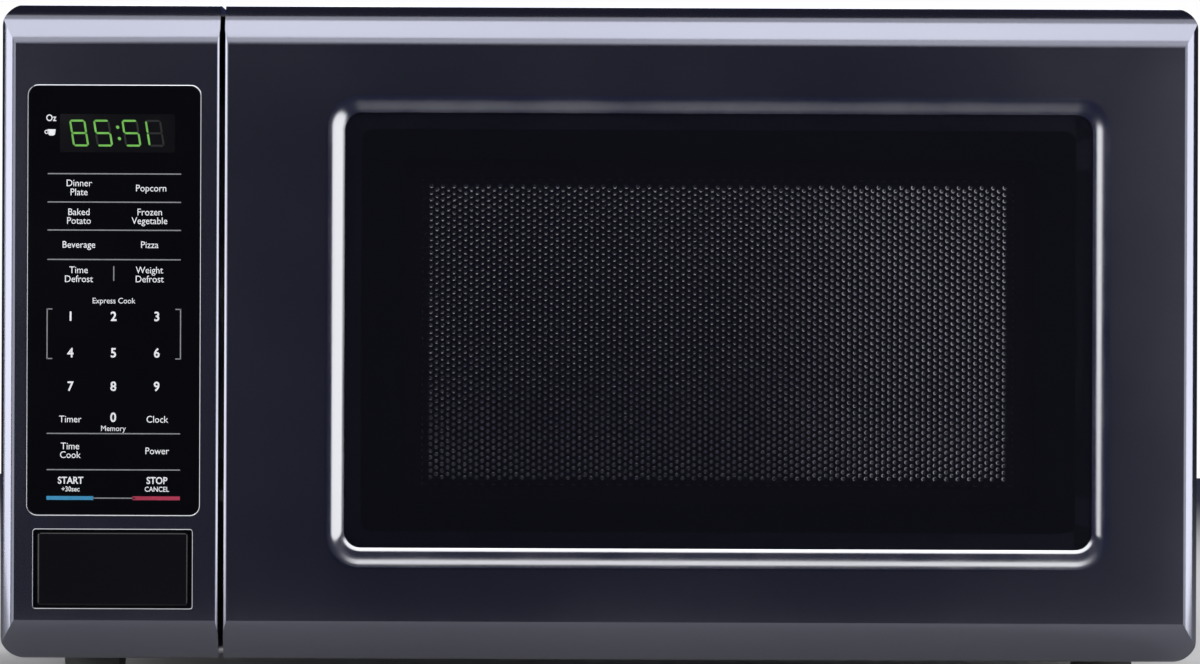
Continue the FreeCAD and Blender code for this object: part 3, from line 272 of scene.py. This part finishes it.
MATERIALS = {
    "door_navy": gloss_navy("door_navy"),
    "housing_navy": gloss_navy("housing_navy"),
    "trim_chrome": trim_metal(),
    "window_glass": clear_glass("window_glass", (0.004, 0.004, 0.006), 0.35),
    "keypad_black": black_gloss("keypad_black", 0.0010, (0.08, 0.12)),
    "display_lens": clear_glass("display_lens", (0.0025, 0.0025, 0.0027), 0.80, 0.10),
    "button_black": black_gloss("button_black", 0.0022, (0.10, 0.14)),
    "casing_paint": powder_coat(),
    "galvanised": galvanised_sheet(),
    "cavity_enamel": cavity_enamel(),
    "screen_black": moulded("screen_black", (0.0012, 0.0012, 0.0014), (0.0018, 0.0018, 0.0020),
                            (0.32, 0.42), 0.00001, Specular_IOR_Level=0.03),
    "cover_black": moulded("cover_black", (0.014, 0.014, 0.016), (0.020, 0.020, 0.022)),
    "clear_film": clear_glass("clear_film", (0.04, 0.04, 0.042), 0.06, 0.04),
    "mica": finish_surface("mica", (0.50, 0.45, 0.36), (0.66, 0.61, 0.52), (0.35, 0.6),
                           colour_scale=70.0, rough_scale=140.0, grain_scale=350.0,
                           grain_depth=0.00008),
    "tray_glass": clear_glass("tray_glass", (0.62, 0.70, 0.69), 0.30),
    "white_plastic": moulded("white_plastic", (0.62, 0.61, 0.57), (0.70, 0.69, 0.65)),
    "grey_plastic": moulded("grey_plastic", (0.06, 0.06, 0.065), (0.085, 0.085, 0.09)),
    "dark_plastic": moulded("dark_plastic", (0.018, 0.018, 0.020), (0.028, 0.028, 0.030)),
    "steel_part": steel("steel_part", (0.45, 0.45, 0.46), (0.56, 0.56, 0.57)),
    "spring_steel": steel("spring_steel", (0.50, 0.50, 0.52), (0.60, 0.60, 0.62)),
    "iron_core": lamination(),
    "aluminium_part": steel("aluminium_part", (0.62, 0.63, 0.64), (0.72, 0.73, 0.74),
                            (1, 1, 20)),
    "board_green": circuit_board(),
    "bulb_glass": clear_glass("bulb_glass", (0.85, 0.84, 0.78), 0.30),
    "foot_rubber": moulded("foot_rubber", (0.016, 0.016, 0.016), (0.026, 0.026, 0.026),
                           (0.6, 0.78), 0.00006),
    "screw_zinc": steel("screw_zinc", (0.48, 0.48, 0.45), (0.60, 0.60, 0.57)),
    "ink_white": printed("ink_white", (0.50, 0.505, 0.52)),
    "ink_grey": printed("ink_grey", (0.14, 0.143, 0.152)),
    "ink_blue": printed("ink_blue", (0.024, 0.15, 0.27)),
    "ink_red": printed("ink_red", (0.23, 0.018, 0.042)),
    "lit_green": lit_segment(),
    "unlit": printed("unlit", (0.004, 0.0045, 0.0045)),
    "punched_edge": steel("punched_edge", (0.70, 0.71, 0.73), (0.80, 0.81, 0.83),
                          rough=(0.10, 0.14)),
}


def paint_cad_nodes():
    """Give every CAD node the material of its slot in the record."""
    for entry in frame["record"]["subparts"]:
        slots = nodes[entry["node"]].data.materials
        slots.clear()
        slots.append(MATERIALS[entry["material_slot"]])


# ---------------------------------------------------------------- mesh helpers

def mesh_piece(name, verts, faces, materials, body, face_slots=None):
    """A new piece from points and faces, welded, facing outwards and riding on a body."""
    mesh = bpy.data.meshes.new(name)
    mesh.from_pydata([tuple(v) for v in verts], [], faces)
    if face_slots:
        mesh.polygons.foreach_set("material_index", face_slots)
    work = bmesh.new()
    work.from_mesh(mesh)
    bmesh.ops.remove_doubles(work, verts=work.verts, dist=1e-7)
    bmesh.ops.recalc_face_normals(work, faces=work.faces)
    work.to_mesh(mesh)
    work.free()
    piece = bpy.data.objects.new(name, mesh)
    bpy.context.scene.collection.objects.link(piece)
    for made in materials:
        mesh.materials.append(MATERIALS[made])
    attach(piece, body)
    return piece


def slab(outline, front, back):
    """A prism from an (x, z) outline, as points and faces."""
    count = len(outline)
    verts = [(x, front, z) for x, z in outline] + [(x, back, z) for x, z in outline]
    faces = [tuple(range(count)), tuple(range(2 * count - 1, count - 1, -1))]
    for i in range(count):
        after = (i + 1) % count
        faces.append((i, after, count + after, count + i))
    return verts, faces


def merge(shapes):
    """Join several (verts, faces) into one."""
    verts, faces = [], []
    for more_verts, more_faces in shapes:
        base = len(verts)
        verts += more_verts
        faces += [tuple(base + i for i in face) for face in more_faces]
    return verts, faces


def rounded_rectangle(x0, x1, z0, z1, radius, steps=8):
    """An (x, z) outline with round corners, each of the given number of steps."""
    points = []
    for cx, cz, start in ((x1 - radius, z1 - radius, 0), (x0 + radius, z1 - radius, 90),
                          (x0 + radius, z0 + radius, 180), (x1 - radius, z0 + radius, 270)):
        for i in range(steps + 1):
            angle = math.radians(start + 90 * i / steps)
            points.append((cx + radius * math.cos(angle), cz + radius * math.sin(angle)))
    return points


def circle(x, z, radius, count):
    """An (x, z) outline of evenly spaced points."""
    turns = [math.tau * i / count for i in range(count)]
    return [(x + radius * math.cos(turn), z + radius * math.sin(turn)) for turn in turns]


def frame_band(outer, inner, front, back, crown=0.0):
    """A closed band between two outlines with the same number of points. A crown
    raises its middle line towards the front."""
    count = len(outer)
    middle = [((a[0] + b[0]) / 2, (a[1] + b[1]) / 2) for a, b in zip(outer, inner)]
    rings = [[(x, back, z) for x, z in outer], [(x, front, z) for x, z in outer],
             [(x, front - crown, z) for x, z in middle],
             [(x, front, z) for x, z in inner], [(x, back, z) for x, z in inner]]
    verts = [point for ring in rings for point in ring]
    faces = []
    for r in range(len(rings)):
        here, there = r * count, ((r + 1) % len(rings)) * count
        for i in range(count):
            after = (i + 1) % count
            faces.append((here + i, here + after, there + after, there + i))
    return verts, faces


# ---------------------------------------------------------------- keypad legends

keypad_low, keypad_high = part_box("keypad_panel")
INK_DEPTH = 0.04 * MM
CAPITAL_SHARE = 0.73    # a capital letter's height as a share of the font's size
BOLD, HALF_BOLD, SMALL_BOLD = 0.022, 0.014, 0.012    # how much heavier than the plain font
ink_front = keypad_low.y - INK_DEPTH


def on_panel(across, down):
    """A place on the keypad, in millimetres from its left and top edges."""
    return keypad_low.x + across * MM, keypad_high.z - down * MM


def rule(across, down, width, tall):
    """A printed bar, from its left end and middle height."""
    x, z = on_panel(across, down)
    half = tall * MM / 2
    outline = [(x, z - half), (x + width * MM, z - half), (x + width * MM, z + half), (x, z + half)]
    return slab(outline, ink_front, keypad_low.y + INK_DEPTH)


def lettering(text, across, down, cap_height, squeeze=0.94, weight=0.001):
    """Printed letters centred on a place, as points and faces."""
    curve = bpy.data.curves.new("lettering", "FONT")
    curve.body = text
    curve.size = cap_height * MM / CAPITAL_SHARE
    curve.align_x = "CENTER"
    curve.extrude = INK_DEPTH
    curve.offset = weight * curve.size
    curve.resolution_u = 3
    holder = bpy.data.objects.new("lettering", curve)
    bpy.context.scene.collection.objects.link(holder)
    depsgraph = bpy.context.evaluated_depsgraph_get()
    mesh = bpy.data.meshes.new_from_object(holder.evaluated_get(depsgraph))
    x, z = on_panel(across, down)
    verts = [(x + v.co.x * squeeze, keypad_low.y + v.co.z, z + v.co.y - cap_height * MM / 2)
             for v in mesh.vertices]
    faces = [tuple(face.vertices) for face in mesh.polygons]
    bpy.data.objects.remove(holder)
    bpy.data.meshes.remove(mesh)
    bpy.data.curves.remove(curve)
    return verts, faces


def keypad_legends():
    """The printed words, numbers, sign, rules and rim. Places and sizes are in millimetres."""
    left, mid, right = 18.9, 31.8, 44.9
    words = [
        ("Dinner", left, 36.0), ("Plate", left, 39.3), ("Popcorn", 45.4, 37.8),
        ("Baked", left, 46.6), ("Potato", left, 49.8), ("Frozen", right, 46.6),
        ("Vegetable", right, 49.8), ("Beverage", left, 58.6), ("Pizza", right, 58.6),
        ("Time", left, 67.9), ("Defrost", left, 71.2), ("Weight", right, 67.9),
        ("Defrost", right, 71.2), ("Timer", 16.0, 122.7), ("Clock", 47.9, 122.7),
        ("Time", 16.0, 132.6), ("Cook", 16.0, 135.8), ("Power", 47.9, 134.3),
    ]
    shapes = [lettering(text, across, down, 2.6) for text, across, down in words]
    shapes.append(lettering("Express Cook", mid, 79.2, 2.15))
    shapes.append(lettering("Memory", mid, 126.1, 2.1))
    shapes += [lettering(text, across, 145.2, 2.6, 0.9, BOLD)
               for text, across in (("START", 16.2), ("STOP", 47.9))]
    shapes += [lettering(text, across, 148.4, 1.9, 0.9, SMALL_BOLD)
               for text, across in (("+30sec", 16.2), ("CANCEL", 47.9))]
    columns, rows = (16.0, mid, 47.7), (84.9, 98.3, 110.6)
    for number in range(1, 10):
        row, column = divmod(number - 1, 3)
        shapes.append(lettering(str(number), columns[column], rows[row], 3.5, 0.95, BOLD))
    shapes.append(lettering("0", mid, 122.0, 3.5, 0.95, BOLD))
    shapes.append(lettering("Oz", 8.6, 12.1, 2.5, 0.9, HALF_BOLD))
    verts, faces = merge(shapes)
    mesh_piece("keypad_lettering", verts, faces, ["ink_white"], "chassis")

    cup = [(-1.5, 1.0), (1.5, 1.0), (1.2, -0.9), (0.7, -1.3), (-0.7, -1.3), (-1.2, -0.9)]
    x, z = on_panel(8.8, 17.4)
    bowl = slab([(x + a * MM, z + b * MM) for a, b in cup], ink_front, keypad_low.y + INK_DEPTH)
    handle_x = x - 1.9 * MM
    handle = frame_band(circle(handle_x, z, 0.75 * MM, 16), circle(handle_x, z, 0.42 * MM, 16),
                        ink_front, keypad_low.y + INK_DEPTH)
    verts, faces = merge([bowl, handle])
    mesh_piece("keypad_cup_sign", verts, faces, ["ink_white"], "chassis")

    left_end, span, foot = 7.4, 49.0, 151.8
    bars = [rule(left_end, down, span, 0.42) for down in (32.7, 43.1, 53.4, 64.2, 128.1, 141.4)]
    bars.append(rule(mid - 0.2, 69.3, 0.4, 5.4))
    for x_end, tick in ((left_end, 0), (left_end + span, -1.9)):
        bars.append(rule(x_end - 0.2, 91.5, 0.4, 18.6))
        bars += [rule(x_end + tick, down, 1.9, 0.4) for down in (82.4, 100.6)]
    bars.append(rule(left_end + 17, foot, 15.5, 0.42))
    verts, faces = merge(bars)
    mesh_piece("keypad_rules", verts, faces, ["ink_grey"], "chassis")
    for name, across, width, ink in (("start", left_end, 17.2, "ink_blue"),
                                     ("stop", left_end + 31.6, 17.4, "ink_red")):
        verts, faces = rule(across, foot, width, 1.4)
        mesh_piece(f"keypad_bar_{name}", verts, faces, [ink], "chassis")

    rim = 0.4 * MM
    outer = rounded_rectangle(keypad_low.x, keypad_high.x, keypad_low.z, keypad_high.z, 4 * MM, 10)
    inner = rounded_rectangle(keypad_low.x + rim, keypad_high.x - rim,
                              keypad_low.z + rim, keypad_high.z - rim, 3.6 * MM, 10)
    verts, faces = frame_band(outer, inner, keypad_low.y - 0.02 * MM, keypad_low.y + 0.2 * MM,
                              0.04 * MM)
    mesh_piece("keypad_bezel", verts, faces, ["trim_chrome"], "chassis")


def button_surround():
    """The bright moulded edge round the button's opening. It is set in from the button's
    box, which takes in the wider flange behind the opening."""
    low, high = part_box("release_button")
    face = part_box("control_housing")[0].y
    inset, width, radius = 1.0 * MM, 0.3 * MM, 1.2 * MM
    x0, x1, z0, z1 = low.x + inset, high.x - inset, low.z + inset, high.z - inset
    outer = rounded_rectangle(x0, x1, z0, z1, radius)
    inner = rounded_rectangle(x0 + width, x1 - width, z0 + width, z1 - width, radius - width)
    verts, faces = frame_band(outer, inner, face - 0.02 * MM, face + 0.2 * MM, 0.03 * MM)
    mesh_piece("button_surround", verts, faces, ["trim_chrome"], "chassis")


# ---------------------------------------------------------------- springs

def compressing_spring(node, body):
    """The CAD spring's own shape, copied as a separate piece riding on its body, with the CAD node
    hidden.
    """
    spring = bpy.data.objects.new(node + "_coil", nodes[node].data.copy())
    bpy.context.scene.collection.objects.link(spring)
    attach(spring, body)
    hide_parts(node)
    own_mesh(spring)


def springs():
    """The two return springs, each copied from its CAD node as its own piece."""
    compressing_spring("button_spring", "chassis")
    compressing_spring("latch_spring", "door")


# ---------------------------------------------------------------- display digits

SEGMENTS = {"1": "ef", "5": "afgcd", "8": "abcdefg"}


def segment_bar(x0, z0, x1, z1, half):
    """One lit bar with pointed ends, from point to point."""
    along = Vector((x1 - x0, z1 - z0)).normalized()
    side = Vector((-along.y, along.x)) * half
    a, b = Vector((x0, z0)) + along * half * 0.25, Vector((x1, z1)) - along * half * 0.25
    near, far = a + along * half, b - along * half
    points = [a, near - side, far - side, b, far + side, near + side]
    return [(p.x, p.y) for p in points]


def digit_bars(x, z, wide, tall):
    """The seven bars of a digit from its lower left corner, unslanted."""
    corners = {
        "a": (0, tall, wide, tall), "b": (wide, tall, wide, tall / 2),
        "c": (wide, tall / 2, wide, 0), "d": (0, 0, wide, 0), "e": (0, tall / 2, 0, 0),
        "f": (0, tall, 0, tall / 2), "g": (0, tall / 2, wide, tall / 2),
    }
    return {key: (x + a, z + b, x + c, z + d) for key, (a, b, c, d) in corners.items()}


def display_digits():
    """The display's four figures and colon: the lit bars and the dark ones."""
    window_low, window_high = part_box("display_window")
    front = window_low.y - 0.03 * MM
    back = window_low.y + 0.03 * MM
    tall, wide, half, slant = 9.1 * MM, 5.2 * MM, 0.36 * MM, -0.16
    base = window_low.z + (window_high.z - window_low.z - tall) / 2
    starts, colon_start, dot_radius = (5.2, 14.0, 24.4, 33.0), 22.3, 0.62 * MM
    lit, dark = [], []

    def slanted(outline):
        """Lean an outline over, about the foot of the figures."""
        return [(x + (z - base) * slant, z) for x, z in outline]

    for start, figure in zip(starts, "8551"):
        bars = digit_bars(window_low.x + start * MM, base, wide, tall)
        for key, ends in bars.items():
            outline = slanted(segment_bar(*ends, half))
            target = lit if key in SEGMENTS[figure] else dark
            target.append(slab(outline, front, back))
    colon_x = window_low.x + colon_start * MM
    for share in (0.28, 0.74):
        dot = circle(colon_x, base + tall * share, dot_radius, 12)
        lit.append(slab(slanted(dot), front, back))
    for name, shapes, ink in (("display_lit", lit, "lit_green"), ("display_unlit", dark, "unlit")):
        verts, faces = merge(shapes)
        mesh_piece(name, verts, faces, [ink], "chassis")


# ---------------------------------------------------------------- door window

def perforated_screen():
    """The punched screen: six-sided cells, each with a dished hole, inside a rim of blank cells."""
    low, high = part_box("door_screen_mesh")
    front, back = low.y, high.y
    pitch = 2.45 * MM
    column = pitch * math.sqrt(3) / 2
    cell = pitch / math.sqrt(3)
    wide, narrow, dish = 0.82 * MM, 0.50 * MM, 0.033 * MM
    columns = int((high.x - low.x) / column) - 2
    rows = int((high.z - low.z) / pitch) - 1
    first_x = (low.x + high.x - (columns - 1) * column) / 2
    first_z = (low.z + high.z - (rows - 1) * pitch) / 2
    around = [math.radians(60 * k) for k in range(6)]
    verts, faces, slots = [], [], []
    for i in range(-1, columns + 1):
        offset = pitch / 2 if i % 2 else 0
        for j in range(-1, rows + 1 - (i % 2)):
            holed = 0 <= i < columns and 0 <= j < rows - (i % 2)
            x, z = first_x + column * i, first_z + pitch * j + offset
            radii = ((front, cell), (front, wide), (front + dish, narrow), (back, cell)) if holed \
                else ((front, cell), (back, cell))
            base = len(verts)
            for y, radius in radii:
                verts += [(x + radius * math.cos(a), y, z + radius * math.sin(a)) for a in around]
            if not holed:
                faces += [tuple(range(base, base + 6)), tuple(range(base + 6, base + 12))]
                slots += [0, 0]
                continue
            # the flat round the hole, its bright dished wall, and the back
            for ring in range(3):
                for k in range(6):
                    here, after = base + ring * 6 + k, base + ring * 6 + (k + 1) % 6
                    faces.append((here, after, after + 6, here + 6))
                    slots.append(1 if ring == 1 else 0)
    return verts, faces, slots


def wall_in(mesh, front, back):
    """Close the open front and back sheets of a mesh with walls round their edge."""
    work = bmesh.new()
    work.from_mesh(mesh)
    bmesh.ops.remove_doubles(work, verts=work.verts, dist=1e-6)
    rim = [edge for edge in work.edges if edge.is_boundary]
    middle = (front + back) / 2
    behind = {(round(v.co.x, 5), round(v.co.z, 5)): v for v in work.verts if v.co.y > middle}
    for edge in [e for e in rim if e.verts[0].co.y < middle]:
        a, b = edge.verts
        partners = [behind[(round(v.co.x, 5), round(v.co.z, 5))] for v in (b, a)]
        work.faces.new((a, b, *partners))
    bmesh.ops.recalc_face_normals(work, faces=work.faces)
    work.to_mesh(mesh)
    still_open = sum(1 for edge in work.edges if not edge.is_manifold)
    work.free()
    if still_open:
        raise ValueError(f"the screen has {still_open} open edges")


def door_window():
    """The punched screen and the black print round the glass."""
    verts, faces, slots = perforated_screen()
    low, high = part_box("door_screen_mesh")
    screen = mesh_piece("door_screen_holes", verts, faces, ["screen_black", "punched_edge"], "door",
                        slots)
    wall_in(screen.data, low.y, high.y)
    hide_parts("door_screen_mesh")
    glass_low, glass_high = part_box("door_glass")
    inset, gap = 0.2 * MM, 7 * MM
    outer = rounded_rectangle(glass_low.x + inset, glass_high.x - inset,
                              glass_low.z + inset, glass_high.z - inset, 6 * MM)
    inner = rounded_rectangle(low.x - gap, high.x + gap, low.z - gap, high.z + gap, 3 * MM)
    verts, faces = frame_band(outer, inner, glass_high.y + 0.02 * MM, glass_high.y + 0.1 * MM)
    mesh_piece("glass_border_print", verts, faces, ["keypad_black"], "door")


RING_TILTS = (
    # share of the way in from the outer edge, and how far the face has turned inwards there,
    # in degrees, on the sides, the sill and the top
    (0.00, 4, 3, 6), (0.08, 7, 9, 12), (0.22, 12, 12, 15), (0.36, 15, 11, 16), (0.50, 17, 9, 16),
    (0.62, 18, 5, 16), (0.74, 17, 5, 16), (0.82, 15, 8, 16), (0.88, 13, 16, 15), (1.00, 10, 18, 15),
)


def ring_depths(width, column):
    """Depth behind the front at each station across the ring, from its tilts."""
    depths = [0.0]
    for near, far in zip(RING_TILTS, RING_TILTS[1:]):
        tilt = math.radians((near[column] + far[column]) / 2)
        depths.append(depths[-1] + (far[0] - near[0]) * width * math.tan(tilt))
    return depths


def trim_ring():
    """The window surround, which rolls inwards to the glass. The sill turns in, flattens, and
    turns in again more steeply, and each corner passes smoothly from one profile to the next."""
    low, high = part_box("window_trim_ring")
    glass_low, glass_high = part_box("door_glass")
    corner_steps, outer_radius, radius_loss = 14, 11.8, 5.5
    width, back = glass_low.x - low.x, high.y - low.y
    shares = [0.0] + [station[0] for station in RING_TILTS] + [1.0]
    side_depths = [back, *ring_depths(width, 1), back]
    sill_depths = [back, *ring_depths(width, 2), back]
    top_depths = [back, *ring_depths(width, 3), back]
    quarter = [90 * i / corner_steps for i in range(corner_steps + 1)]
    heights = [math.sin(math.radians(start + turn)) for start in (0, 90, 180, 270)
               for turn in quarter]
    verts = []
    for share, side, sill, top in zip(shares, side_depths, sill_depths, top_depths):
        edges = [a + (b - a) * share for a, b in ((low.x, glass_low.x), (high.x, glass_high.x),
                                                  (low.z, glass_low.z), (high.z, glass_high.z))]
        radius = (outer_radius - radius_loss * share) * MM
        outline = rounded_rectangle(*edges, radius, corner_steps)
        verts += [(x, low.y + side + ((top if height > 0 else sill) - side) * abs(height), z)
                  for (x, z), height in zip(outline, heights)]
    count = len(heights)
    faces = []
    for r in range(len(shares)):
        here, there = r * count, ((r + 1) % len(shares)) * count
        for i in range(count):
            after = (i + 1) % count
            faces.append((here + i, here + after, there + after, there + i))
    ring = mesh_piece("window_surround", verts, faces, ["trim_chrome"], "door")
    ring.data.shade_smooth()
    ring.data.set_sharp_from_angle(angle=math.radians(40))
    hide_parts("window_trim_ring")


# ---------------------------------------------------------------- floor, light and camera

def stage_piece(name, verts, faces, colour):
    """A piece of the studio, which is not part of the oven."""
    mesh = bpy.data.meshes.new(name)
    mesh.from_pydata(verts, [], faces)
    for face in mesh.polygons:
        face.use_smooth = True
    floor = bpy.data.objects.new(name, mesh)
    bpy.context.scene.collection.objects.link(floor)
    made = new_material(name + "_paint", colour, 0.75)
    mesh.materials.append(made)


def studio():
    """Pale floor, dark room with a white backdrop, and softboxes. The floor stops short in
    front, so that the oven's face reflects the dark room."""
    half, front_edge = 3.0, -0.55
    stage_piece("floor", [(-half, front_edge, 0), (half, front_edge, 0), (half, half, 0),
                          (-half, half, 0)], [(0, 1, 2, 3)], (0.42, 0.42, 0.416))
    bpy.context.scene.view_settings.view_transform = "Standard"
    world = bpy.data.worlds.new("studio")
    world.use_nodes = True
    bpy.context.scene.world = world
    tree = world.node_tree
    room = tree.nodes["Background"]
    room.inputs["Color"].default_value = (0.021, 0.025, 0.064, 1.0)
    room.inputs["Strength"].default_value = 1.0
    backdrop = tree.nodes.new("ShaderNodeBackground")
    backdrop.inputs["Color"].default_value = (1.0, 1.0, 1.0, 1.0)
    seen = tree.nodes.new("ShaderNodeLightPath")
    either = tree.nodes.new("ShaderNodeMixShader")
    tree.links.new(seen.outputs["Is Camera Ray"], either.inputs[0])
    tree.links.new(room.outputs[0], either.inputs[1])
    tree.links.new(backdrop.outputs[0], either.inputs[2])
    tree.links.new(either.outputs[0], tree.nodes["World Output"].inputs["Surface"])
    # each softbox: bearing from straight ahead and height angle of its middle, width and height
    # in metres, how far away, and its brightness
    softboxes = (
        ("key", 0, 41, 1.3, 1.15, 1.6, 4.5),
        ("key_skirt", 0, 15.5, 1.3, 0.28, 1.6, 2.2),
        ("key_crown", 0, 66, 1.3, 0.28, 1.6, 1.6),
        ("side_right", 57, 0, 1.0, 0.9, 1.25, 5.6),
        ("side_right_skirt", 26, 0, 0.34, 0.9, 1.25, 1.9),
        ("side_left", -64, 0, 0.95, 0.9, 1.25, 5.8),
        ("side_left_skirt", -29, 0, 0.40, 0.9, 1.25, 1.9),
        ("back_fill", 165, 40, 1.8, 1.2, 1.8, 5.0),
    )
    middle = Vector((0, -0.178, 0.2))
    for name, bearing, lift, wide, tall, distance, brightness in softboxes:
        turn, rise = math.radians(bearing), math.radians(lift)
        away = Vector((math.sin(turn) * math.cos(rise), -math.cos(turn) * math.cos(rise),
                       math.sin(rise)))
        light = bpy.data.lights.new(name, "AREA")
        light.shape = "RECTANGLE"
        light.size, light.size_y = wide, tall
        light.energy = brightness * math.pi * wide * tall
        lamp = bpy.data.objects.new(name, light)
        lamp.location = middle + away * distance
        lamp.rotation_euler = (-away).to_track_quat("-Z", "Y").to_euler()
        bpy.context.scene.collection.objects.link(lamp)


def camera():
    """Square on to the front from two metres, rolled by about a fifth of a degree."""
    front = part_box("door_frame")[0].y
    distance, view_width, sensor = 2.0, 0.44076, 36.0
    across, height, roll = 0.0002, 0.1369, math.radians(-0.22)
    data = bpy.data.cameras.new("camera")
    data.sensor_width = sensor
    data.lens = sensor * distance / view_width
    eye = bpy.data.objects.new("camera", data)
    eye.location = (across, front - distance, height)
    eye.rotation_euler = (math.radians(90), roll, 0)
    bpy.context.scene.collection.objects.link(eye)
    bpy.context.scene.camera = eye


paint_cad_nodes()
keypad_legends()
button_surround()
springs()
display_digits()
door_window()
trim_ring()
studio()
camera()
